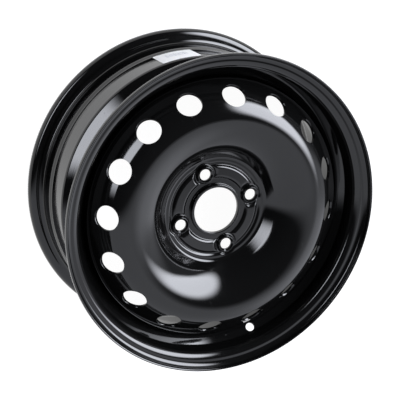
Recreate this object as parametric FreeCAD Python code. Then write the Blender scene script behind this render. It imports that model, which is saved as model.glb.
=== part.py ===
import FreeCAD, Part
import math
import os

# Pressed-steel car wheel, 15 inch, 6J rim, four bolts on a 100 mm circle.
# Millimetres. The origin is the wheel's centre on the spin axis, midway between the flanges.
# +Z is the spin axis, pointing outboard. The valve hole is on +X.

# Rim
rim_width = 152.4
bead_seat_diameter = 380.2
rim_sheet = 2.6
flange_height = 17.3
flange_width = 13.0
flange_curl_radius = 9.5
bead_fillet = 6.5
bead_seat_angle = 5.0
bead_seat_width = 19.2
hump_rise = 1.7
hump_run = 4.0
hump_round = 5.0
well_depth = 17.3
well_outer_edge = 38.7
well_inner_edge = 16.4
well_round = 8.0
ledge_drop = 2.3
ledge_outer_edge = 1.4
ledge_inner_edge = -42.5
ledge_round = 6.0
inner_hump_centre = -49.0
inner_hump_rise = 2.1
inner_hump_run = 6.5
inner_hump_round = 8.0

# Valve hole in the outboard wall of the well
valve_hole_diameter = 11.3
valve_hole_radius = 181.4

# Disc
wheel_offset = 46.0
disc_sheet = 3.6
bore_diameter = 60.1
bore_lip_height = 5.5
bore_lip_bend = 1.0
rib_inner_radius = 41.2
rib_outer_radius = 58.8
rib_height = 2.6
rib_slope_angle = 42.0
rib_foot_round = 1.6
rib_edge_round = 4.1
step_gap = 1.8
step_height = 1.7
step_edge_round = 3.9
step_width = 8.4
bowl_foot_round = 5.0
bowl_wall_angle = 52.0
crown_flat = 2.0
crown_height = 86.0
crown_shoulder_radius = 139.5
crown_shoulder_round = 30.0
vent_slope_angle = 47.0
skirt_round = 12.0

# Vents
vent_count = 16
vent_diameter = 30.8
vent_circle_radius = 152.25

# Wheel bolt seats
bolt_count = 4
bolt_circle_diameter = 100.0
bolt_hole_diameter = 14.6
bolt_seat_angle = 45.0
bolt_seat_depth = 2.3
bolt_land = 2.2
collar_height = 5.0
collar_rim = 0.8
collar_flank_angle = 68.0
collar_clearance = 1.2
collar_hollow_angle = 60.0

# Fillet welds between the skirt and the well
weld_count = 8
weld_span_angle = 27.0
weld_leg = 3.2
weld_crown = 0.5
weld_toe_margin = 0.8

# Paper label on the ledge of the rim
label_length = 52.0
label_margin = 0.4
label_paper = 0.2
label_azimuth = 170.4

axis = FreeCAD.Vector(0, 0, 1)
centre = FreeCAD.Vector(0, 0, 0)


def slope(angle):
    return math.tan(math.radians(angle))


def in_section(radius, height):
    return FreeCAD.Vector(radius, 0, height)


def offset_corners(corners, distance):
    # The same bent line, moved sideways to the right of its own direction.
    starts = []
    directions = []
    for (r0, z0), (r1, z1) in zip(corners, corners[1:]):
        length = math.hypot(r1 - r0, z1 - z0)
        along = ((r1 - r0) / length, (z1 - z0) / length)
        directions.append(along)
        starts.append((r0 + distance * along[1], z0 - distance * along[0]))
    moved = [starts[0]]
    for p, d, q, e in zip(starts, directions, starts[1:], directions[1:]):
        cross = d[0] * e[1] - d[1] * e[0]
        travel = ((q[0] - p[0]) * e[1] - (q[1] - p[1]) * e[0]) / cross
        moved.append((p[0] + travel * d[0], p[1] + travel * d[1]))
    (end_r, end_z), (along_r, along_z) = corners[-1], directions[-1]
    moved.append((end_r + distance * along_z, end_z - distance * along_r))
    return moved


def bent_edges(corners, rounds):
    # Straight runs joined by tangent arcs, one round for each inner corner.
    edges = []
    start = in_section(*corners[0])
    for before, corner, after, radius in zip(corners, corners[1:], corners[2:], rounds):
        here = in_section(*corner)
        towards = (in_section(*before) - here).normalize()
        away = (in_section(*after) - here).normalize()
        half_turn = towards.getAngle(away) / 2
        reach = radius / math.tan(half_turn)
        middle = (towards + away).normalize() * (radius / math.sin(half_turn))
        arc_start = here + towards * reach
        arc_end = here + away * reach
        arc_middle = here + middle * (1 - math.sin(half_turn))
        add_line(edges, start, arc_start)
        edges.append(Part.Arc(arc_start, arc_middle, arc_end).toShape())
        start = arc_end
    add_line(edges, start, in_section(*corners[-1]))
    return edges


def add_line(edges, start, end):
    shortest = 1e-5
    if (end - start).Length > shortest:
        edges.append(Part.LineSegment(start, end).toShape())


def bend_reach(corners, rounds, index):
    # How far a bend reaches along its two runs, from the corner that it rounds off.
    here = in_section(*corners[index])
    towards = in_section(*corners[index - 1]) - here
    away = in_section(*corners[index + 1]) - here
    return rounds[index - 1] / math.tan(towards.getAngle(away) / 2)


def turns_left(before, corner, after):
    (r0, z0), (r1, z1), (r2, z2) = before, corner, after
    return (r1 - r0) * (z2 - z1) - (z1 - z0) * (r2 - r1) > 0


def sheet_ring(corners, rounds, sheet):
    # A ring of sheet metal: the corners lie on one face, the other face is one sheet to the right.
    other_corners = offset_corners(corners, sheet)
    other_rounds = []
    for before, corner, after, radius in zip(corners, corners[1:], corners[2:], rounds):
        outside = turns_left(before, corner, after)
        other_rounds.append(radius + sheet if outside else radius - sheet)
    face_edges = bent_edges(corners, rounds)
    other_edges = bent_edges(other_corners, other_rounds)
    caps = []
    add_line(caps, in_section(*corners[0]), in_section(*other_corners[0]))
    add_line(caps, in_section(*corners[-1]), in_section(*other_corners[-1]))
    outline = Part.Wire(Part.__sortEdges__(face_edges + other_edges + caps))
    return Part.Face(outline).revolve(centre, axis, 360)


def ring_of_outline(points, angle=360):
    outline = Part.makePolygon([in_section(*p) for p in points + points[:1]])
    return Part.Face(outline).revolve(centre, axis, angle)


def around_axis(shape, count, first_angle=0.0):
    copies = []
    for index in range(count):
        copy = shape.copy()
        copy.rotate(centre, axis, first_angle + index * 360 / count)
        copies.append(copy)
    return copies


# Rim contour on the tyre's side
bead_radius = bead_seat_diameter / 2
half_width = rim_width / 2
flange_radius = bead_radius + flange_height
lip_turn = math.asin((flange_width - flange_curl_radius) / flange_curl_radius)
lip_corner = half_width + flange_curl_radius * (1 + math.tan(lip_turn / 2))
lip_end = half_width + flange_width
lip_radius = flange_radius - flange_curl_radius * (1 - math.cos(lip_turn))
well_radius = bead_radius - well_depth
well_inner_radius = well_radius - rim_sheet
ledge_radius = bead_radius - ledge_drop


def seat_radius(height):
    return bead_radius - (half_width - abs(height)) * slope(bead_seat_angle)


seat_edge = half_width - bead_seat_width
hump_height = seat_edge - hump_run
hump_radius = seat_radius(seat_edge) + hump_rise
inner_seat_edge = inner_hump_centre - inner_hump_run
inner_hump_radius = ledge_radius + inner_hump_rise
rim_corners = [
    (lip_radius, lip_end),
    (flange_radius, lip_corner),
    (flange_radius, half_width),
    (bead_radius, half_width),
    (seat_radius(seat_edge), seat_edge),
    (hump_radius, hump_height),
    (well_radius, well_outer_edge),
    (well_radius, well_inner_edge),
    (ledge_radius, ledge_outer_edge),
    (ledge_radius, ledge_inner_edge),
    (inner_hump_radius, inner_hump_centre),
    (seat_radius(inner_seat_edge), inner_seat_edge),
    (bead_radius, -half_width),
    (flange_radius, -half_width),
    (flange_radius, -lip_corner),
    (lip_radius, -lip_end),
]
rim_rounds = [
    flange_curl_radius,
    flange_curl_radius,
    bead_fillet,
    hump_round,
    hump_round,
    well_round,
    well_round,
    ledge_round,
    inner_hump_round,
    inner_hump_round,
    inner_hump_round,
    bead_fillet,
    flange_curl_radius,
    flange_curl_radius,
]
well_bend = rim_corners.index((well_radius, well_inner_edge))
ledge_outer_bend = rim_corners.index((ledge_radius, ledge_outer_edge))
ledge_inner_bend = rim_corners.index((ledge_radius, ledge_inner_edge))
well_flat_end = well_inner_edge + bend_reach(rim_corners, rim_rounds, well_bend)
ledge_flat_start = ledge_outer_edge - bend_reach(rim_corners, rim_rounds, ledge_outer_bend)
ledge_flat_end = ledge_inner_edge + bend_reach(rim_corners, rim_rounds, ledge_inner_bend)


def make_rim():
    hoop = sheet_ring(rim_corners, rim_rounds, rim_sheet)
    wall_angle = math.atan2(hump_height - well_outer_edge, hump_radius - well_radius)
    normal = FreeCAD.Vector(-math.sin(wall_angle), 0, math.cos(wall_angle))
    tyre_radius = valve_hole_radius - rim_sheet * normal.x
    tyre_height = well_outer_edge + (tyre_radius - well_radius) * math.tan(wall_angle)
    drill_start = in_section(tyre_radius, tyre_height) - normal * rim_sheet
    drill = Part.makeCylinder(valve_hole_diameter / 2, 3 * rim_sheet, drill_start, normal)
    return hoop.cut(drill)


# Disc contour on the outboard face
hub_front = wheel_offset + disc_sheet
lip_outer_radius = bore_diameter / 2 + disc_sheet
rib_slope_run = rib_height / slope(rib_slope_angle)
step_run = step_height / slope(rib_slope_angle)
step_radius = rib_outer_radius + step_gap
bowl_foot_radius = step_radius + step_width
bowl_run = (crown_height - hub_front - step_height) / slope(bowl_wall_angle)
bowl_top_radius = bowl_foot_radius + bowl_run
shoulder_start = crown_shoulder_radius - crown_shoulder_round * slope(vent_slope_angle / 2)
bowl_crown_round = (shoulder_start - crown_flat - bowl_top_radius) / slope(bowl_wall_angle / 2)
skirt_radius = well_inner_radius
skirt_end = well_flat_end + weld_toe_margin + weld_leg
skirt_corner = crown_height - (skirt_radius - crown_shoulder_radius) * slope(vent_slope_angle)
disc_corners = [
    (lip_outer_radius, hub_front + bore_lip_height),
    (lip_outer_radius, hub_front),
    (rib_inner_radius, hub_front),
    (rib_inner_radius + rib_slope_run, hub_front + rib_height),
    (rib_outer_radius - rib_slope_run, hub_front + rib_height),
    (rib_outer_radius, hub_front),
    (step_radius, hub_front),
    (step_radius + step_run, hub_front + step_height),
    (bowl_foot_radius, hub_front + step_height),
    (bowl_top_radius, crown_height),
    (crown_shoulder_radius, crown_height),
    (skirt_radius, skirt_corner),
    (skirt_radius, skirt_end),
]
disc_rounds = [
    bore_lip_bend,
    rib_foot_round,
    rib_edge_round,
    rib_edge_round,
    rib_foot_round,
    rib_foot_round / 2,
    step_edge_round,
    bowl_foot_round,
    bowl_crown_round,
    crown_shoulder_round,
    skirt_round,
]


def make_vent_punch():
    centre_height = crown_height - (vent_circle_radius - crown_shoulder_radius) * slope(vent_slope_angle)
    tilt = math.radians(vent_slope_angle)
    normal = FreeCAD.Vector(math.sin(tilt), 0, math.cos(tilt))
    reach = 4 * disc_sheet
    start = in_section(vent_circle_radius, centre_height) - normal * reach
    return Part.makeCylinder(vent_diameter / 2, 2 * reach, start, normal)


# Bolt seat sizes, measured from the seat's own axis
bolt_radius = bolt_hole_diameter / 2
seat_mouth = bolt_radius + bolt_seat_depth * slope(bolt_seat_angle)
collar_top_radius = seat_mouth + collar_rim
collar_foot_radius = collar_top_radius + collar_height / slope(collar_flank_angle)
pocket_radius = collar_foot_radius + collar_clearance
pad_radius = pocket_radius + disc_sheet


def make_bolt_pad():
    pad = Part.makeCylinder(pad_radius, disc_sheet, in_section(0, wheel_offset), axis)
    top = hub_front + collar_height
    collar = Part.makeCone(collar_foot_radius, collar_top_radius, collar_height, in_section(0, hub_front), axis)
    seat = Part.makeCone(bolt_radius, seat_mouth, bolt_seat_depth, in_section(0, top - bolt_seat_depth), axis)
    hole = Part.makeCylinder(bolt_radius, top - wheel_offset, in_section(0, wheel_offset), axis)
    hollow_depth = top - bolt_seat_depth - bolt_land - wheel_offset
    hollow_mouth = bolt_radius + hollow_depth / slope(collar_hollow_angle)
    hollow = Part.makeCone(hollow_mouth, bolt_radius, hollow_depth, in_section(0, wheel_offset), axis)
    return pad.fuse(collar), seat.fuse([hole, hollow])


def make_pocket():
    depth = rib_height + step_height
    return Part.makeCone(pocket_radius, pocket_radius + depth, depth, in_section(0, hub_front), axis)


def at_bolts(shape):
    moved = shape.copy()
    moved.translate(in_section(bolt_circle_diameter / 2, 0))
    return around_axis(moved, bolt_count)


def make_disc():
    pressing = sheet_ring(disc_corners, disc_rounds, disc_sheet)
    pad, cutter = make_bolt_pad()
    pressing = pressing.cut(around_axis(make_vent_punch(), vent_count))
    pressing = pressing.cut(at_bolts(make_pocket()))
    pressing = pressing.fuse(at_bolts(pad))
    return pressing.cut(at_bolts(cutter)).removeSplitter()


def make_weld_beads():
    # Each bead fills the corner between the skirt's end and the well, with a slightly convex face.
    corner = in_section(skirt_radius, skirt_end)
    skirt_toe = in_section(skirt_radius - weld_leg, skirt_end)
    well_toe = in_section(skirt_radius, skirt_end - weld_leg)
    bulge = weld_leg / 2 + weld_crown / math.sqrt(2)
    crest = in_section(skirt_radius - bulge, skirt_end - bulge)
    outline = Part.Wire([
        Part.LineSegment(corner, skirt_toe).toShape(),
        Part.Arc(skirt_toe, crest, well_toe).toShape(),
        Part.LineSegment(well_toe, corner).toShape(),
    ])
    bead = Part.Face(outline).revolve(centre, axis, weld_span_angle)
    half_pitch = 180 / weld_count
    return Part.makeCompound(around_axis(bead, weld_count, half_pitch - weld_span_angle / 2))


def make_label():
    # A thin curved sheet that lies on the ledge, between its two bends.
    span = math.degrees(label_length / ledge_radius)
    low = ledge_flat_end + label_margin
    high = ledge_flat_start - label_margin
    outer = ledge_radius + label_paper
    sheet = ring_of_outline([(ledge_radius, low), (outer, low), (outer, high), (ledge_radius, high)], span)
    sheet.rotate(centre, axis, label_azimuth - span / 2)
    return sheet


os.makedirs("parts", exist_ok=True)
nodes = {
    "rim": make_rim(),
    "disc": make_disc(),
    "weld_beads": make_weld_beads(),
    "label": make_label(),
}
for name, shape in nodes.items():
    shape.exportStep("parts/" + name + ".step")
    box = shape.BoundBox
    print(name, "solids", len(shape.Solids), "valid", shape.isValid(), "volume", round(shape.Volume),
          "box", [round(v, 2) for v in (box.XMin, box.YMin, box.ZMin, box.XMax, box.YMax, box.ZMax)])
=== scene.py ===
import math

import bmesh
import bpy
import numpy as np
from mathutils import Matrix, Vector


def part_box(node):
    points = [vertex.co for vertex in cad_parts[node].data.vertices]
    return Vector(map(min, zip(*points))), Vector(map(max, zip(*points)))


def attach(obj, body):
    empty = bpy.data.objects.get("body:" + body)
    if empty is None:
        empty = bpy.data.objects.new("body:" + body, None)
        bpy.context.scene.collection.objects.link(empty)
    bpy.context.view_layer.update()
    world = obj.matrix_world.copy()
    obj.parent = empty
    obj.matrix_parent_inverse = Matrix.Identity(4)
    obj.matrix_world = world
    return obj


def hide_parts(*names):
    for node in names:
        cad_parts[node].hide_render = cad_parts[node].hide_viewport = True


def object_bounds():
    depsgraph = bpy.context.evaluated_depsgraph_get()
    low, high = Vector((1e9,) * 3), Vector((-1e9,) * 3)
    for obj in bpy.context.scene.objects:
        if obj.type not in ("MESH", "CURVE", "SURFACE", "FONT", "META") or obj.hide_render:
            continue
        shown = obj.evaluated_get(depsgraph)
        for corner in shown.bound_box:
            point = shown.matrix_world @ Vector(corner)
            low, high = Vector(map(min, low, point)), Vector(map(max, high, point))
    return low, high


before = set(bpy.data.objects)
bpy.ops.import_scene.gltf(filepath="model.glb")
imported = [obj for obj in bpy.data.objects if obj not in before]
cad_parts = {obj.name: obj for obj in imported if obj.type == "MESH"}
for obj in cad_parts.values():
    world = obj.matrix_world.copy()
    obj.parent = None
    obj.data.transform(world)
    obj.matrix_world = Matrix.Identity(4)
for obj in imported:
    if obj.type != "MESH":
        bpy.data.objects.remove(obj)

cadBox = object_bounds()
mm = 0.001
groundHeight = cadBox[0][2]
bpy.context.scene.view_settings.view_transform = "Standard"
print("frame loaded, box", [list(corner) for corner in cadBox])


# small helpers

def addNode(tree, kind, settings=None, inputs=None):
    # settings are the node's own options; inputs, by name or number, are plain values or sockets to link
    node = tree.nodes.new(kind)
    for name, value in (settings or {}).items():
        setattr(node, name, value)
    for name, value in (inputs or {}).items():
        if isinstance(value, bpy.types.NodeSocket):
            tree.links.new(value, node.inputs[name])
        else:
            node.inputs[name].default_value = value
    return node


def hexColor(text):
    # sRGB hex to the linear values that the shaders take
    channels = [int(text[i:i + 2], 16) / 255 for i in (1, 3, 5)]
    return [c / 12.92 if c <= 0.04045 else ((c + 0.055) / 1.055) ** 2.4 for c in channels] + [1.0]


def newMaterial(name):
    material = bpy.data.materials.new(name)
    material.use_nodes = True
    material.node_tree.nodes.clear()
    return material, material.node_tree


def newPiece(name, mesh):
    piece = bpy.data.objects.new(name, mesh)
    bpy.context.scene.collection.objects.link(piece)
    return piece


def plainMesh(piece):
    # the evaluated result as a mesh of its own, with the modifiers gone
    evaluated = piece.evaluated_get(bpy.context.evaluated_depsgraph_get())
    mesh = bpy.data.meshes.new_from_object(evaluated)
    piece.modifiers.clear()
    piece.data = mesh
    return mesh


def cleanMesh(mesh):
    # cuts leave many-sided faces and slivers: the first are split, the second taken out
    finest = 0.005 * mm
    work = bmesh.new()
    work.from_mesh(mesh)
    bmesh.ops.remove_doubles(work, verts=work.verts, dist=finest)
    bmesh.ops.triangulate(work, faces=[face for face in work.faces if len(face.verts) > 4])
    bmesh.ops.dissolve_degenerate(work, edges=work.edges, dist=finest)
    work.to_mesh(mesh)
    work.free()


def smoothMesh(mesh, creaseAngle):
    mesh.shade_smooth()
    mesh.set_sharp_from_angle(angle=math.radians(creaseAngle))


# sheet metal sections, in millimetres, as lists of (radius, height)

def offsetCorners(corners, distance):
    # the same corners on the sheet's other face
    points = np.array(corners, float)
    runs = np.diff(points, axis=0)
    runs /= np.linalg.norm(runs, axis=1)[:, None]
    sides = np.stack([runs[:, 1], -runs[:, 0]], axis=1) * distance
    moved = [points[0] + sides[0]]
    for corner, before, after, side in zip(points[1:], runs, runs[1:], sides):
        turn = before[0] * after[1] - before[1] * after[0]
        moved.append(corner + side + before * distance * (1 - before @ after) / turn)
    moved.append(points[-1] + sides[-1])
    return [tuple(point) for point in moved]


def bentLine(corners, rounds, turnStep, longestRun):
    # straight runs and tangent arcs; a run also has a point close to each end, so that shading stays true
    shortest, supported, nearEnd = 1e-4, 1.5, 0.3
    points = [np.array(corner, float) for corner in corners]
    start = points[0]
    stops = []
    for before, corner, after, radius in zip(points, points[1:], points[2:], rounds):
        towards = (before - corner) / np.linalg.norm(before - corner)
        away = (after - corner) / np.linalg.norm(after - corner)
        halfTurn = math.acos(np.clip(towards @ away, -1, 1)) / 2
        reach = radius / math.tan(halfTurn)
        bisector = (towards + away) / np.linalg.norm(towards + away)
        middle = corner + bisector * radius / math.sin(halfTurn)
        first, last = corner + towards * reach, corner + away * reach
        steps = max(2, math.ceil(math.degrees(math.pi - 2 * halfTurn) / turnStep))
        arc = []
        for index in range(steps + 1):
            share = index / steps
            spoke = (first - middle) * math.sin((1 - share) * (math.pi / 2 - halfTurn) * 2)
            spoke = spoke + (last - middle) * math.sin(share * (math.pi / 2 - halfTurn) * 2)
            arc.append(middle + spoke / np.linalg.norm(spoke) * radius)
        stops.append((start, arc))
        start = arc[-1]
    stops.append((start, [points[-1]]))
    line = [points[0]]
    for begin, arc in stops:
        length = np.linalg.norm(arc[0] - begin)
        if length > shortest:
            parts = max(1, math.ceil(length / longestRun))
            shares = [index / parts for index in range(1, parts)]
            if length > supported:
                shares = sorted(shares + [nearEnd / length, 1 - nearEnd / length])
            line += [begin + (arc[0] - begin) * share for share in shares]
            line.append(arc[0])
        line += arc[1:]
    return line


def sheetLoop(corners, rounds, shape):
    # both faces of a bent sheet and its two rounded edges, as one closed line
    sheet, edgeRound = shape["sheet"], shape["edgeRound"]
    backRounds = []
    for (r0, z0), (r1, z1), (r2, z2), radius in zip(corners, corners[1:], corners[2:], rounds):
        outside = (r1 - r0) * (z2 - z1) - (z1 - z0) * (r2 - r1) > 0
        backRounds.append(radius + sheet if outside else radius - sheet)
    back = offsetCorners(corners, sheet)
    middleStart = tuple((np.array(corners[0]) + np.array(back[0])) / 2)
    loopCorners = [middleStart] + list(corners) + back[::-1] + [middleStart]
    loopRounds = [edgeRound] + list(rounds) + [edgeRound, edgeRound] + backRounds[::-1] + [edgeRound]
    return bentLine(loopCorners, loopRounds, shape["turnStep"], shape["longestRun"])[:-1]


def revolvedMesh(name, loop, segments, closed=True, heightAt=None):
    # a section turned about the wheel's axis; heightAt presses local shapes into it
    mergeGap = 0.001 * mm
    loop = np.array(loop)
    angles = np.arange(segments) * 2 * math.pi / segments
    radius, angle = np.meshgrid(loop[:, 0], angles, indexing="ij")
    height = np.repeat(loop[:, 1][:, None], segments, axis=1)
    if heightAt:
        height = heightAt(radius, angle, height)
    vertices = np.stack([radius * np.cos(angle), radius * np.sin(angle), height], axis=-1)
    count = len(loop)
    faces = []
    for ring in range(count if closed else count - 1):
        nextRing = (ring + 1) % count
        for step in range(segments):
            nextStep = (step + 1) % segments
            faces.append((ring * segments + step, nextRing * segments + step,
                          nextRing * segments + nextStep, ring * segments + nextStep))
    mesh = bpy.data.meshes.new(name)
    mesh.from_pydata((vertices.reshape(-1, 3) * mm).tolist(), [], faces)
    work = bmesh.new()
    work.from_mesh(mesh)
    bmesh.ops.remove_doubles(work, verts=work.verts, dist=mergeGap)
    bmesh.ops.recalc_face_normals(work, faces=work.faces)
    work.to_mesh(mesh)
    work.free()
    mesh.shade_smooth()
    return mesh


# trees that copy a shape evenly round the wheel's axis

def newTree(name, sockets):
    tree = bpy.data.node_groups.new(name, "GeometryNodeTree")
    for socketName, kind in sockets.items():
        tree.interface.new_socket(socketName, in_out="INPUT", socket_type="NodeSocket" + kind)
    tree.interface.new_socket("Geometry", in_out="OUTPUT", socket_type="NodeSocketGeometry")
    return tree, addNode(tree, "NodeGroupInput").outputs


def ringOfCopies(tree, shape, count, firstTurn=0.0):
    points = addNode(tree, "GeometryNodePoints", {}, {"Count": count})
    index = addNode(tree, "GeometryNodeInputIndex")
    share = addNode(tree, "ShaderNodeMath", {"operation": "DIVIDE"}, {0: index.outputs[0], 1: count})
    angle = addNode(tree, "ShaderNodeMath", {"operation": "MULTIPLY_ADD"}, {
        0: share.outputs[0], 1: 2 * math.pi, 2: firstTurn})
    turn = addNode(tree, "ShaderNodeCombineXYZ", {}, {"Z": angle.outputs[0]})
    copies = addNode(tree, "GeometryNodeInstanceOnPoints", {}, {
        "Points": points.outputs[0], "Instance": shape, "Rotation": turn.outputs[0]})
    return addNode(tree, "GeometryNodeRealizeInstances", {}, {"Geometry": copies.outputs[0]}).outputs[0]


def endTree(tree, shape, paint):
    painted = addNode(tree, "GeometryNodeSetMaterial", {}, {"Geometry": shape, "Material": paint})
    addNode(tree, "NodeGroupOutput", {}, {"Geometry": painted.outputs[0]})
    return tree


def applyTree(piece, tree, values):
    # inputs go in by their identifiers, before the piece is first evaluated
    modifier = piece.modifiers.new(tree.name, "NODES")
    modifier.node_group = tree
    for item in tree.interface.items_tree:
        if item.in_out == "INPUT" and item.name in values:
            modifier[item.identifier] = values[item.name]
    return plainMesh(piece)


# paint: black stoving enamel over dipped primer, a deep gloss with a slight orange peel

enamel = {
    "colorDeep": "#080808",
    "colorWorn": "#1b1c1d",
    "roughness": 0.07,
    "roughnessDusty": 0.32,
    "ior": 1.5,
    "peelSize": 2.6,                   # mm from bump to bump
    "peelHeight": 0.0025,              # mm
    "waveSize": 38.0,                  # mm, the slow waves of pressed sheet
    "rollSize": 4.0,                   # mm between the marks that the rollers leave round the axis
    "speckSize": 1.6,                  # mm between dust specks
    "speckEdge": (0.74, 0.80),         # noise levels where a speck begins and where it is full
    "scuffSize": 27.0,                 # mm between the faint handling scuffs
    "scuffEdge": (0.62, 0.75),         # noise levels where a scuff begins and where it is full
    "scuffTurn": (0.4, 0.3, 0.6),      # radians, the way that the scuffs run
    "scuffStretch": (1.0, 9.0, 3.0),   # how much finer they are along each axis
}


def blackEnamel(name, waveHeight, speckShare, rollHeight):
    material, tree = newMaterial(name)
    place = addNode(tree, "ShaderNodeTexCoord").outputs["Object"]
    scuffPlace = addNode(tree, "ShaderNodeMapping", {}, {
        "Vector": place, "Rotation": enamel["scuffTurn"], "Scale": enamel["scuffStretch"]})
    # roller marks run round the axis, so their noise is read by radius and height alone
    spot = addNode(tree, "ShaderNodeSeparateXYZ", {}, {"Vector": place})
    flat = addNode(tree, "ShaderNodeCombineXYZ", {}, {"X": spot.outputs["X"], "Y": spot.outputs["Y"]})
    reach = addNode(tree, "ShaderNodeVectorMath", {"operation": "LENGTH"}, {0: flat.outputs[0]})
    section = addNode(tree, "ShaderNodeCombineXYZ", {}, {
        "X": reach.outputs["Value"], "Y": spot.outputs["Z"]})
    noises = {}
    for key, vector, size, detail, grain in (
            ("peel", place, enamel["peelSize"], 2.0, 0.4),
            ("wave", place, enamel["waveSize"], 1.0, 0.5),
            ("cloud", place, enamel["waveSize"], 5.0, 0.6),
            ("speck", place, enamel["speckSize"], 3.0, 0.7),
            ("scuff", scuffPlace.outputs["Vector"], enamel["scuffSize"], 4.0, 0.75),
            ("roll", section.outputs[0], enamel["rollSize"], 2.0, 0.6)):
        noise = addNode(tree, "ShaderNodeTexNoise", {}, {
            "Vector": vector, "Scale": 1 / (size * mm), "Detail": detail, "Roughness": grain})
        noises[key] = noise.outputs["Fac"]
    marks = []
    for key, shift in (("speck", speckShare), ("scuff", 0.0)):
        begin, full = enamel[key + "Edge"]
        mark = addNode(tree, "ShaderNodeMapRange", {"interpolation_type": "SMOOTHSTEP"}, {
            "Value": noises[key], "From Min": begin - shift, "From Max": full - shift})
        marks.append(mark.outputs["Result"])
    either = addNode(tree, "ShaderNodeMath", {"operation": "MAXIMUM"}, {0: marks[0], 1: marks[1]})
    worn = addNode(tree, "ShaderNodeMath", {"operation": "MULTIPLY"}, {
        0: either.outputs[0], 1: noises["cloud"]})
    color = addNode(tree, "ShaderNodeMix", {"data_type": "RGBA"}, {
        "Factor": worn.outputs[0], 6: hexColor(enamel["colorDeep"]), 7: hexColor(enamel["colorWorn"])})
    gloss = addNode(tree, "ShaderNodeMapRange", {}, {
        "Value": worn.outputs[0], "To Min": enamel["roughness"], "To Max": enamel["roughnessDusty"]})
    relief = {}
    for key, height in (("roll", rollHeight), ("wave", waveHeight), ("peel", enamel["peelHeight"])):
        bump = addNode(tree, "ShaderNodeBump", {}, {
            **relief, "Height": noises[key], "Distance": height * mm, "Strength": 1.0})
        relief = {"Normal": bump.outputs["Normal"]}
    paint = addNode(tree, "ShaderNodeBsdfPrincipled", {}, {
        **relief, "Base Color": color.outputs[2], "Roughness": gloss.outputs["Result"],
        "IOR": enamel["ior"]})
    addNode(tree, "ShaderNodeOutputMaterial", {}, {"Surface": paint.outputs["BSDF"]})
    return material


# on the rolled rim the rollers' marks draw the highlights out into streaks round the axis
rimPaint = blackEnamel("black enamel on rolled steel", waveHeight=0.05, speckShare=0.02, rollHeight=0.05)
# on the pressed disc the highlights are broad and clean, with the slow waves of drawn sheet
discPaint = blackEnamel("black enamel on pressed steel", waveHeight=0.06, speckShare=0.0, rollHeight=0.004)
# on the welds dust settles between the ripples
weldPaint = blackEnamel("black enamel over weld metal", waveHeight=0.03, speckShare=0.03, rollHeight=0.0)
print("paints ready")


# rim: one rolled hoop of sheet, flange to flange

rimShape = {
    "width": 152.4,
    "beadRadius": 190.1,
    "sheet": 2.6,
    "flangeHeight": 17.3,
    "flangeWidth": 13.0,
    "curlRound": 9.5,
    "beadFillet": 6.5,
    "seatAngle": 5.0,
    "seatWidth": 19.2,
    "humpRise": 1.7,
    "humpRun": 4.0,
    "humpRound": 5.0,
    "wellDepth": 17.3,
    "wellOuterEdge": 38.7,
    "wellInnerEdge": 16.4,
    "wellRound": 8.0,
    "ledgeDrop": 2.3,
    "ledgeOuterEdge": 1.4,
    "ledgeInnerEdge": -42.5,
    "ledgeRound": 6.0,
    "innerHumpCentre": -49.0,
    "innerHumpRise": 2.1,
    "innerHumpRun": 6.5,
    "innerHumpRound": 8.0,
    "valveRadius": 5.65,
    "valvePlace": 181.4,
    "drillSheets": 6,      # the drill's length, in sheets
    "drillSegments": 64,
    "edgeRound": 1.0,
    "turnStep": 9.0,       # degrees from point to point on a bend
    "longestRun": 14.0,    # mm from point to point on the straight
    "segments": 256,
    "creaseAngle": 35,
}


def rimCorners(shape):
    half = shape["width"] / 2
    bead = shape["beadRadius"]
    flange = bead + shape["flangeHeight"]
    curl = shape["curlRound"]
    lipTurn = math.asin((shape["flangeWidth"] - curl) / curl)
    lipCorner = half + curl * (1 + math.tan(lipTurn / 2))
    lip = (flange - curl * (1 - math.cos(lipTurn)), half + shape["flangeWidth"])
    taper = math.tan(math.radians(shape["seatAngle"]))
    seatEdge = half - shape["seatWidth"]
    seatRadius = bead - shape["seatWidth"] * taper
    innerSeat = shape["innerHumpCentre"] - shape["innerHumpRun"]
    ledge = bead - shape["ledgeDrop"]
    well = bead - shape["wellDepth"]
    hump = (seatRadius + shape["humpRise"], seatEdge - shape["humpRun"])
    wellEdge = (well, shape["wellOuterEdge"])
    corners = [
        lip, (flange, lipCorner), (flange, half), (bead, half), (seatRadius, seatEdge),
        hump, wellEdge, (well, shape["wellInnerEdge"]),
        (ledge, shape["ledgeOuterEdge"]), (ledge, shape["ledgeInnerEdge"]),
        (ledge + shape["innerHumpRise"], shape["innerHumpCentre"]),
        (bead - (half + innerSeat) * taper, innerSeat),
        (bead, -half), (flange, -half), (flange, -lipCorner), (lip[0], -lip[1]),
    ]
    humpRound, wellRound, innerRound = shape["humpRound"], shape["wellRound"], shape["innerHumpRound"]
    rounds = [curl, curl, shape["beadFillet"], humpRound, humpRound, wellRound, wellRound,
              shape["ledgeRound"], innerRound, innerRound, innerRound, shape["beadFillet"], curl, curl]
    return corners, rounds, hump, wellEdge


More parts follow.
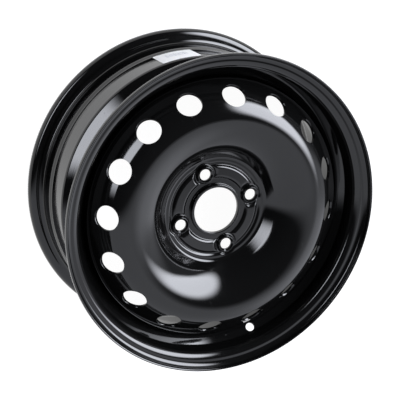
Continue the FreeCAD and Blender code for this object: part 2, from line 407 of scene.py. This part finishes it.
def valveDrill(shape, hump, wellEdge):
    # a cylinder square to the sloping wall of the well
    wall = Vector((hump[0] - wellEdge[0], 0, hump[1] - wellEdge[1])).normalized()
    normal = Vector((-wall.z, 0, wall.x))
    tyreRadius = shape["valvePlace"] - shape["sheet"] * normal.x
    place = Vector((tyreRadius, 0, wellEdge[1] + (tyreRadius - wellEdge[0]) * wall.z / wall.x))
    turn = normal.to_track_quat("Z", "Y").to_matrix().to_4x4()
    radius = shape["valveRadius"] * mm
    work = bmesh.new()
    bmesh.ops.create_cone(work, cap_ends=True, segments=shape["drillSegments"], radius1=radius,
                          radius2=radius, depth=shape["drillSheets"] * shape["sheet"] * mm)
    bmesh.ops.transform(work, matrix=Matrix.Translation(place * mm) @ turn, verts=work.verts)
    mesh = bpy.data.meshes.new("valve_drill")
    work.to_mesh(mesh)
    work.free()
    return newPiece("valve_drill", mesh)


def makeRim(shape):
    corners, rounds, hump, wellEdge = rimCorners(shape)
    loop = sheetLoop(corners, rounds, shape)
    rim = newPiece("rim_hoop", revolvedMesh("rim_hoop", loop, shape["segments"]))
    drill = valveDrill(shape, hump, wellEdge)
    cut = rim.modifiers.new("valve hole", "BOOLEAN")
    cut.operation = "DIFFERENCE"
    cut.object = drill
    mesh = plainMesh(rim)
    bpy.data.objects.remove(drill)
    cleanMesh(mesh)
    smoothMesh(mesh, shape["creaseAngle"])
    mesh.materials.clear()
    mesh.materials.append(rimPaint)
    return rim


rim = makeRim(rimShape)
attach(rim, "root")
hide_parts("rim")
print("rim hoop", len(rim.data.polygons), "faces")


# disc: one pressing with hub, bowl, crown, vents and skirt

discShape = {
    "offset": 46.0,
    "sheet": 3.6,
    "boreRadius": 30.05,
    "lipHeight": 5.5,
    "lipBend": 1.0,
    "ribInner": 41.2,
    "ribOuter": 58.8,
    "ribHeight": 2.6,
    "ribSlope": 42.0,
    "ribFoot": 1.6,
    "ribEdge": 4.1,
    "stepRadius": 60.6,
    "stepHeight": 1.7,
    "stepEdge": 3.9,
    "bowlFoot": 69.0,
    "bowlFootRound": 5.0,
    "bowlAngle": 52.0,
    "crownFlat": 2.0,
    "crownHeight": 86.0,
    "shoulderRadius": 139.5,
    "shoulderRound": 30.0,
    "ventSlope": 47.0,
    "skirtRound": 12.0,
    "edgeRound": 0.9,
    "turnStep": 9.0,       # degrees from point to point on a bend
    "longestRun": 4.0,     # mm from point to point on the straight
    "hubReach": 72.0,      # mm, the hub's part of the pressing
    "hubStep": 1.0,        # mm from point to point there, fine enough for the bolt pockets
    "hubMargin": 0.1,      # mm below the mounting face that still count as hub
    "segments": 288,
    "creaseAngle": 35,
}
boltSeat = {
    "count": 4,
    "circleRadius": 50.0,
    "holeRadius": 7.3,
    "seatDepth": 2.3,
    "land": 2.2,
    "collarHeight": 5.0,
    "collarTop": 10.4,
    "collarFoot": 12.42,
    "collarSink": 1.5,     # mm that the collar reaches into the sheet
    "collarSpread": 1.2,   # mm that it widens under its foot
    "collarDrop": 0.1,     # mm that this wider edge lies below the face
    "pocketRadius": 13.6,
    "padRadius": 17.2,
    "lipMargin": 1.0,      # mm beside the bore's lip that the pockets leave alone
    "blendPower": 5,       # how sharply a rib gives way to a pocket
    "hollowMouth": 9.75,
    "edgeRound": 0.7,
    "footRound": 1.4,
    "hiddenRound": 0.01,   # mm, on corners inside the sheet
    "overcut": 1.0,        # mm that the cutter stands out of the sheet on both sides
    "turnStep": 10.0,
    "longestRun": 20.0,
    "segments": 96,
}
vent = {
    "count": 16,
    "radius": 15.4,
    "circleRadius": 152.25,
    "rolledEdge": 1.2,
    "rolledLine": ((0.0, -1.2), (0.3, -0.5), (1.0, 0.4)),   # outwards and upwards, in shares of that edge
    "punchSheets": 4,      # the punch's reach to both sides, in sheets
    "segments": 80,
}
hubFront = discShape["offset"] + discShape["sheet"]
skirtRadius = rimShape["beadRadius"] - rimShape["wellDepth"] - rimShape["sheet"]
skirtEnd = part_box("weld_beads")[1][2] / mm


def discCorners(shape):
    lip = shape["boreRadius"] + shape["sheet"]
    rise = math.tan(math.radians(shape["ribSlope"]))
    ribRun, stepRun = shape["ribHeight"] / rise, shape["stepHeight"] / rise
    ribTop, stepTop = hubFront + shape["ribHeight"], hubFront + shape["stepHeight"]
    crown = shape["crownHeight"]
    bowlRun = (crown - stepTop) / math.tan(math.radians(shape["bowlAngle"]))
    halfSlope = math.tan(math.radians(shape["ventSlope"] / 2))
    shoulderStart = shape["shoulderRadius"] - shape["shoulderRound"] * halfSlope
    bowlReach = shoulderStart - shape["crownFlat"] - shape["bowlFoot"] - bowlRun
    bowlRound = bowlReach / math.tan(math.radians(shape["bowlAngle"] / 2))
    skirtTop = crown - (skirtRadius - shape["shoulderRadius"]) * math.tan(math.radians(shape["ventSlope"]))
    corners = [
        (lip, hubFront + shape["lipHeight"]), (lip, hubFront),
        (shape["ribInner"], hubFront), (shape["ribInner"] + ribRun, ribTop),
        (shape["ribOuter"] - ribRun, ribTop), (shape["ribOuter"], hubFront),
        (shape["stepRadius"], hubFront), (shape["stepRadius"] + stepRun, stepTop),
        (shape["bowlFoot"], stepTop), (shape["bowlFoot"] + bowlRun, crown),
        (shape["shoulderRadius"], crown), (skirtRadius, skirtTop), (skirtRadius, skirtEnd),
    ]
    rounds = [shape["lipBend"], shape["ribFoot"], shape["ribEdge"], shape["ribEdge"], shape["ribFoot"],
              shape["ribFoot"] / 2, shape["stepEdge"], shape["bowlFootRound"], bowlRound,
              shape["shoulderRound"], shape["skirtRound"]]
    return corners, rounds


def pressBolts(radius, angle, height):
    # flat pockets round the bolts: what rises above the hub fades out towards each bolt, like drawn sheet
    tolerance, nearZero = 1e-6, 1e-9
    back, power = discShape["offset"], boltSeat["blendPower"]
    pitch = 2 * math.pi / boltSeat["count"]
    local = (angle + pitch / 2) % pitch - pitch / 2
    away = np.hypot(radius * np.cos(local) - boltSeat["circleRadius"], radius * np.sin(local))
    lipEdge = discShape["boreRadius"] + discShape["sheet"] + boltSeat["lipMargin"]
    onHub = (radius > lipEdge) & (radius < discShape["hubReach"])
    faces = ((hubFront, boltSeat["pocketRadius"], height >= hubFront - tolerance),
             (back, boltSeat["padRadius"], height < hubFront - tolerance))
    pressed = height.copy()
    for level, clear, isFace in faces:
        rise = np.clip(height - level, 0, None)
        room = np.clip(away - clear, 0, None)
        soft = rise * room / np.maximum((rise ** power + room ** power) ** (1 / power), nearZero)
        pressed = np.where(onHub & isFace, level + soft, pressed)
    return pressed


def lathedTool(name, loop, segments, matrix):
    mesh = revolvedMesh(name, loop, segments, closed=False)
    mesh.transform(matrix)
    return newPiece(name, mesh)


def boltTools():
    back, top = discShape["offset"], hubFront + boltSeat["collarHeight"]
    hole, depth, overcut = boltSeat["holeRadius"], boltSeat["seatDepth"], boltSeat["overcut"]
    place = Matrix.Translation(Vector((boltSeat["circleRadius"], 0, 0)) * mm)
    foot, hidden = boltSeat["collarFoot"], boltSeat["hiddenRound"]
    wide, sunk = foot + boltSeat["collarSpread"], hubFront - boltSeat["collarSink"]
    collarLine = bentLine(
        [(0, sunk), (wide, sunk), (wide, hubFront - boltSeat["collarDrop"]), (foot, hubFront),
         (boltSeat["collarTop"], top), (0, top)],
        [hidden, hidden, boltSeat["footRound"], boltSeat["edgeRound"]],
        boltSeat["turnStep"], boltSeat["longestRun"])
    landEnd = top - depth - boltSeat["land"]
    flare = (boltSeat["hollowMouth"] - hole) / (landEnd - back)
    cutLine = [(0, back - overcut), (boltSeat["hollowMouth"] + flare * overcut, back - overcut),
               (hole, landEnd), (hole, top - depth), (hole + depth + overcut, top + overcut),
               (0, top + overcut)]
    collar = lathedTool("bolt_collar", collarLine, boltSeat["segments"], place)
    cutter = lathedTool("bolt_cutter", cutLine, boltSeat["segments"], place)
    return collar, cutter


def ventTool():
    slope = math.radians(discShape["ventSlope"])
    drop = (vent["circleRadius"] - discShape["shoulderRadius"]) * math.tan(slope)
    normal = Vector((math.sin(slope), 0, math.cos(slope)))
    turn = normal.to_track_quat("Z", "Y").to_matrix().to_4x4()
    middle = Vector((vent["circleRadius"], 0, discShape["crownHeight"] - drop))
    radius, edge, reach = vent["radius"], vent["rolledEdge"], vent["punchSheets"] * discShape["sheet"]
    line = [(0, -reach), (radius, -reach)]
    line += [(radius + out * edge, rise * edge) for out, rise in vent["rolledLine"]]
    line += [(radius + edge, reach), (0, reach)]
    return lathedTool("vent_punch", line, vent["segments"], Matrix.Translation(middle * mm) @ turn)


def piercingTree():
    # collars joined on, then bolt holes and vents cut
    tree, given = newTree("pierced pressing", {
        "Geometry": "Geometry", "Collar": "Object", "Bolt Cutter": "Object", "Vent Punch": "Object",
        "Bolt Count": "Int", "Vent Count": "Int", "Paint": "Material"})
    rings = {}
    for tool, count in (
            ("Collar", "Bolt Count"), ("Bolt Cutter", "Bolt Count"), ("Vent Punch", "Vent Count")):
        shape = addNode(tree, "GeometryNodeObjectInfo", {}, {"Object": given[tool]})
        rings[tool] = ringOfCopies(tree, shape.outputs["Geometry"], given[count])
    joined = addNode(tree, "GeometryNodeMeshBoolean", {"operation": "UNION", "solver": "EXACT"}, {
        "Mesh 2": given["Geometry"]})
    tree.links.new(rings["Collar"], joined.inputs["Mesh 2"])
    pierced = addNode(tree, "GeometryNodeMeshBoolean", {"operation": "DIFFERENCE", "solver": "EXACT"}, {
        "Mesh 1": joined.outputs[0], "Mesh 2": rings["Bolt Cutter"]})
    tree.links.new(rings["Vent Punch"], pierced.inputs["Mesh 2"])
    return endTree(tree, pierced.outputs[0], given["Paint"])


def makeDisc(shape):
    corners, rounds = discCorners(shape)
    loop = sheetLoop(corners, rounds, shape)
    hubBack = shape["offset"] - shape["hubMargin"]
    fine = [loop[0]]
    for before, after in zip(loop, loop[1:] + loop[:1]):
        onHub = max(before[0], after[0]) < shape["hubReach"] and min(before[1], after[1]) > hubBack
        length = np.linalg.norm(after - before)
        parts = max(1, math.ceil(length / shape["hubStep"])) if onHub else 1
        fine += [before + (after - before) * index / parts for index in range(1, parts + 1)]
    pressing = revolvedMesh("disc_pressing", fine[:-1], shape["segments"], heightAt=pressBolts)
    disc = newPiece("disc_pressing", pressing)
    collar, cutter = boltTools()
    punch = ventTool()
    mesh = applyTree(disc, piercingTree(), {
        "Collar": collar, "Bolt Cutter": cutter, "Vent Punch": punch,
        "Bolt Count": boltSeat["count"], "Vent Count": vent["count"], "Paint": discPaint})
    for tool in (collar, cutter, punch):
        bpy.data.objects.remove(tool)
    cleanMesh(mesh)
    smoothMesh(mesh, shape["creaseAngle"])
    return disc


disc = makeDisc(discShape)
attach(disc, "root")
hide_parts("disc")
print("disc pressing", len(disc.data.polygons), "faces")


# weld beads: arc welds between the skirt and the well, with the ripples of the travelling arc

weldShape = {
    "count": 8,
    "spanAngle": 27.0,
    "leg": 3.2,
    "crown": 0.5,
    "endTaper": 6.0,       # each end tapers off over one part in this many
    "ripplePitch": 2.4,
    "rippleHeight": 0.28,
    "rippleBow": 3.0,      # how far a ripple's ends lag behind its middle
    "ripplePower": 0.6,    # each ripple rises fast and then levels off
    "liftShare": 0.7,      # of the bead's height, along each of its two legs
    "rows": 170,
    "across": 12,
    "mergeGap": 0.002,
    "creaseAngle": 60,
}


def ringTree():
    # the piece's own mesh, copied round the axis
    tree, given = newTree("ring of copies", {
        "Geometry": "Geometry", "Count": "Int", "First Turn": "Float", "Paint": "Material"})
    ring = ringOfCopies(tree, given["Geometry"], given["Count"], given["First Turn"])
    return endTree(tree, ring, given["Paint"])


def makeWelds(shape):
    rows, across, leg = shape["rows"], shape["across"], shape["leg"]
    vertices = []
    for row in range(rows + 1):
        along = row / rows
        angle = math.radians((along - 0.5) * shape["spanAngle"])
        run = angle * skirtRadius
        taper = min(1.0, shape["endTaper"] * along, shape["endTaper"] * (1 - along)) ** 0.5
        for step in range(across + 1):
            over = step / across
            bow = (over - 0.5) ** 2 * shape["rippleBow"]
            ripple = ((run / shape["ripplePitch"] + bow) % 1.0) ** shape["ripplePower"]
            bulge = math.sin(math.pi * over)
            lift = (shape["crown"] + shape["rippleHeight"] * (ripple - 0.5)) * bulge * taper
            radius = skirtRadius - leg * (1 - over) * taper - lift * shape["liftShare"]
            height = skirtEnd - leg * over * taper - lift * shape["liftShare"]
            vertices.append((radius * math.cos(angle) * mm, radius * math.sin(angle) * mm, height * mm))
        root = (skirtRadius * math.cos(angle) * mm, skirtRadius * math.sin(angle) * mm, skirtEnd * mm)
        vertices.append(root)
    width = across + 2
    faces = []
    for row in range(rows):
        for step in range(width):
            nextStep = (step + 1) % width
            faces.append((row * width + step, row * width + nextStep,
                          (row + 1) * width + nextStep, (row + 1) * width + step))
    mesh = bpy.data.meshes.new("weld_ripples")
    mesh.from_pydata(vertices, [], faces)
    work = bmesh.new()
    work.from_mesh(mesh)
    bmesh.ops.remove_doubles(work, verts=work.verts, dist=shape["mergeGap"] * mm)
    bmesh.ops.holes_fill(work, edges=[edge for edge in work.edges if edge.is_boundary])
    bmesh.ops.recalc_face_normals(work, faces=work.faces)
    work.to_mesh(mesh)
    work.free()
    welds = newPiece("weld_ripples", mesh)
    mesh = applyTree(welds, ringTree(), {
        "Count": shape["count"], "First Turn": math.pi / shape["count"], "Paint": weldPaint})
    smoothMesh(mesh, shape["creaseAngle"])
    return welds


welds = makeWelds(weldShape)
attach(welds, "root")
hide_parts("weld_beads")
print("weld beads", len(welds.data.polygons), "faces")


# label: coated white paper, bare but for a few pale grey bars

labelShape = {
    "length": 52.0,
    "azimuth": 170.4,
    "paper": 0.2,
    "cornerRound": 1.6,
    "columns": 60,
    "rows": 40,
    "creaseAngle": 35,
    "white": "#f2f2f0",
    "ink": "#b8bac0",
    "ior": 1.46,
    "sheen": (0.34, 0.5),         # roughness from the coating's hollows to the fibres
    "fibreSize": 0.8,             # mm
    "fibreHeight": 0.01,          # mm
    "fibreStrength": 0.6,
    "barRate": 1.4,               # changes from bar to gap, per mm
    "barLevel": 0.52,             # noise level above which a bar is printed
    "barsAlong": (10.0, 40.0),    # mm, the printed field on the paper
    "barsAcross": (9.0, 22.0),
}


def labelPaper():
    # coated paper: a clean, slightly cool white with a soft sheen, fine fibre and pale print
    material, tree = newMaterial("coated label paper")
    place = addNode(tree, "ShaderNodeTexCoord")
    fibre = addNode(tree, "ShaderNodeTexNoise", {}, {
        "Vector": place.outputs["Object"], "Scale": 1 / (labelShape["fibreSize"] * mm),
        "Detail": 4.0, "Roughness": 0.7})
    spot = addNode(tree, "ShaderNodeSeparateXYZ", {}, {"Vector": place.outputs["UV"]})
    bars = addNode(tree, "ShaderNodeTexNoise", {"noise_dimensions": "1D"}, {
        "W": spot.outputs["X"], "Scale": labelShape["barRate"], "Detail": 0.0})
    limits = [("GREATER_THAN", bars.outputs["Fac"], labelShape["barLevel"])]
    for axis, field in (("X", "barsAlong"), ("Y", "barsAcross")):
        low, high = labelShape[field]
        limits += [("GREATER_THAN", spot.outputs[axis], low), ("LESS_THAN", spot.outputs[axis], high)]
    ink = 1.0
    for operation, value, limit in limits:
        mask = addNode(tree, "ShaderNodeMath", {"operation": operation}, {0: value, 1: limit})
        product = addNode(tree, "ShaderNodeMath", {"operation": "MULTIPLY"}, {0: mask.outputs[0], 1: ink})
        ink = product.outputs[0]
    color = addNode(tree, "ShaderNodeMix", {"data_type": "RGBA"}, {
        "Factor": ink, 6: hexColor(labelShape["white"]), 7: hexColor(labelShape["ink"])})
    sheen = addNode(tree, "ShaderNodeMapRange", {}, {
        "Value": fibre.outputs["Fac"], "To Min": labelShape["sheen"][0], "To Max": labelShape["sheen"][1]})
    grain = addNode(tree, "ShaderNodeBump", {}, {
        "Height": fibre.outputs["Fac"], "Distance": labelShape["fibreHeight"] * mm,
        "Strength": labelShape["fibreStrength"]})
    paper = addNode(tree, "ShaderNodeBsdfPrincipled", {}, {
        "Base Color": color.outputs[2], "Roughness": sheen.outputs["Result"], "IOR": labelShape["ior"],
        "Normal": grain.outputs["Normal"]})
    addNode(tree, "ShaderNodeOutputMaterial", {}, {"Surface": paper.outputs["BSDF"]})
    return material


def makeLabel(shape):
    low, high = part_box("label")[0][2] / mm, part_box("label")[1][2] / mm
    ledge = rimShape["beadRadius"] - rimShape["ledgeDrop"]
    radius = ledge + shape["paper"]
    columns, rows, corner = shape["columns"], shape["rows"], shape["cornerRound"]
    halfLength, halfWidth = shape["length"] / 2, (high - low) / 2
    work = bmesh.new()
    uvLayer = work.loops.layers.uv.new("paper")
    grid = []
    flat = {}
    for row in range(rows + 1):
        line = []
        for column in range(columns + 1):
            u = (column / columns * 2 - 1) * halfLength
            v = (row / rows * 2 - 1) * halfWidth
            overU, overV = abs(u) - halfLength + corner, abs(v) - halfWidth + corner
            if overU > 0 and overV > 0:
                pull = max(overU, overV) / math.hypot(overU, overV)
                u = math.copysign(halfLength - corner + overU * pull, u)
                v = math.copysign(halfWidth - corner + overV * pull, v)
            angle = math.radians(shape["azimuth"]) + u / ledge
            place = Vector((radius * math.cos(angle), radius * math.sin(angle), (low + high) / 2 + v))
            vertex = work.verts.new(place * mm)
            flat[vertex] = (u + halfLength, v + halfWidth)
            line.append(vertex)
        grid.append(line)
    for row in range(rows):
        for column in range(columns):
            face = work.faces.new((grid[row][column], grid[row][column + 1],
                                   grid[row + 1][column + 1], grid[row + 1][column]))
            for loop in face.loops:
                loop[uvLayer].uv = flat[loop.vert]
    mesh = bpy.data.meshes.new("paper_label")
    work.to_mesh(mesh)
    work.free()
    label = newPiece("paper_label", mesh)
    thickness = label.modifiers.new("paper", "SOLIDIFY")
    thickness.thickness = shape["paper"] * mm
    thickness.offset = -1.0
    mesh = plainMesh(label)
    smoothMesh(mesh, shape["creaseAngle"])
    mesh.materials.append(labelPaper())
    return label


label = makeLabel(labelShape)
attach(label, "root")
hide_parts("label")
print("label", len(label.data.polygons), "faces")


# studio: a floor that looks white, a dark dome with soft panels, and the camera at the photo's viewpoint

viewpoint = {
    "lens": 103.54,
    "clipEnd": 50.0,
    "place": (-0.618318, -0.386781, 1.31664),
    "right": (0.26404, 0.88476, 0.38405),
    "up": (-0.87174, 0.38930, -0.29755),
}
# towards and along: right, up and back in the camera's own axes; reach: half width and length in degrees
panels = {
    "key": {
        "towards": (0.87, 0.25, 0.42), "along": (-0.12, 1.0, 0.0),
        "reach": (16, 32), "soft": 0.5, "radiance": 14.5},
    "sweep": {
        "towards": (-0.03, -0.96, -0.26), "along": (1.0, 0.0, 0.0),
        "reach": (72, 72), "soft": 0.06, "radiance": 1.1},
    "sweep glow": {
        "towards": (0.90, -0.42, 0.0), "along": (0.0, 1.0, 0.0),
        "reach": (24, 24), "soft": 0.8, "radiance": 0.9},
    "side wall": {
        "towards": (0.95, 0.2, -0.1), "along": (0.0, 1.0, 0.0),
        "reach": (40, 60), "soft": 0.5, "radiance": 0.2},
    "left": {
        "towards": (-0.59, 0.24, 0.77), "along": (-0.61, -0.79, 0.0),
        "reach": (5, 22), "soft": 0.6, "radiance": 11.0},
}
surroundings = {
    "lightColor": "#f3f6ff",
    "domeRadiance": 0.04,
    "floorColor": "#707070",
    "floorSize": 60.0,     # m
    "floorLift": 0.96,     # what the floor gives to the camera and to reflections besides its own shading
}


def placeCamera():
    right, up = Vector(viewpoint["right"]), Vector(viewpoint["up"])
    back = right.cross(up)
    camera = bpy.data.objects.new("camera", bpy.data.cameras.new("camera"))
    camera.data.lens = viewpoint["lens"]
    camera.data.clip_end = viewpoint["clipEnd"]
    axes = Matrix((right, up, back)).transposed().to_4x4()
    camera.matrix_world = Matrix.Translation(viewpoint["place"]) @ axes
    bpy.context.scene.collection.objects.link(camera)
    bpy.context.scene.camera = camera
    return right, up, back


def lightDome(right, up, back):
    # each panel is a soft-edged patch of the dome, at its own direction, width and length
    world = bpy.data.worlds.new("studio dome")
    world.use_nodes = True
    tree = world.node_tree
    tree.nodes.clear()
    gaze = addNode(tree, "ShaderNodeTexCoord").outputs["Generated"]
    total = surroundings["domeRadiance"]
    for panel in panels.values():
        axes = [right * x + up * y + back * z for x, y, z in (panel["towards"], panel["along"])]
        centre = axes[0].normalized()
        length = (axes[1] - centre * axes[1].dot(centre)).normalized()
        width = centre.cross(length)
        squares = []
        for axis, reach in zip((width, length), panel["reach"]):
            side = addNode(tree, "ShaderNodeVectorMath", {"operation": "DOT_PRODUCT"}, {
                0: gaze, 1: axis / math.sin(math.radians(reach))})
            square = addNode(tree, "ShaderNodeMath", {"operation": "POWER"}, {
                0: side.outputs["Value"], 1: 2.0})
            squares.append(square.outputs[0])
        spread = addNode(tree, "ShaderNodeMath", {"operation": "ADD"}, {0: squares[0], 1: squares[1]})
        patch = addNode(tree, "ShaderNodeMapRange", {"interpolation_type": "SMOOTHSTEP"}, {
            "Value": spread.outputs[0], "From Min": 1 + panel["soft"], "From Max": 1 - panel["soft"],
            "To Min": 0.0, "To Max": panel["radiance"]})
        ahead = addNode(tree, "ShaderNodeVectorMath", {"operation": "DOT_PRODUCT"}, {0: gaze, 1: centre})
        facing = addNode(tree, "ShaderNodeMath", {"operation": "GREATER_THAN"}, {
            0: ahead.outputs["Value"], 1: 0.0})
        lit = addNode(tree, "ShaderNodeMath", {"operation": "MULTIPLY_ADD"}, {
            0: patch.outputs["Result"], 1: facing.outputs[0], 2: total})
        total = lit.outputs[0]
    dome = addNode(tree, "ShaderNodeBackground", {}, {
        "Color": hexColor(surroundings["lightColor"]), "Strength": total})
    addNode(tree, "ShaderNodeOutputWorld", {}, {"Surface": dome.outputs[0]})
    bpy.context.scene.world = world


def placeFloor():
    # matt card: grey takes the shadow, and the lift makes it look white to the camera and in reflections
    half = surroundings["floorSize"] / 2
    mesh = bpy.data.meshes.new("floor")
    corners = [(-half, -half), (half, -half), (half, half), (-half, half)]
    mesh.from_pydata([(x, y, groundHeight) for x, y in corners], [], [(0, 1, 2, 3)])
    floor = newPiece("floor", mesh)
    material, tree = newMaterial("matt white floor")
    path = addNode(tree, "ShaderNodeLightPath").outputs
    seen = path["Is Camera Ray"]
    for ray in ("Is Glossy Ray", "Is Transmission Ray"):
        seen = addNode(tree, "ShaderNodeMath", {"operation": "MAXIMUM"}, {0: seen, 1: path[ray]}).outputs[0]
    lift = addNode(tree, "ShaderNodeMath", {"operation": "MULTIPLY"}, {
        0: seen, 1: surroundings["floorLift"]})
    matt = addNode(tree, "ShaderNodeBsdfDiffuse", {}, {"Color": hexColor(surroundings["floorColor"])})
    glow = addNode(tree, "ShaderNodeEmission", {}, {"Strength": lift.outputs[0]})
    both = addNode(tree, "ShaderNodeAddShader", {}, {0: matt.outputs[0], 1: glow.outputs[0]})
    addNode(tree, "ShaderNodeOutputMaterial", {}, {"Surface": both.outputs[0]})
    mesh.materials.append(material)


lightDome(*placeCamera())
placeFloor()
print("studio ready")
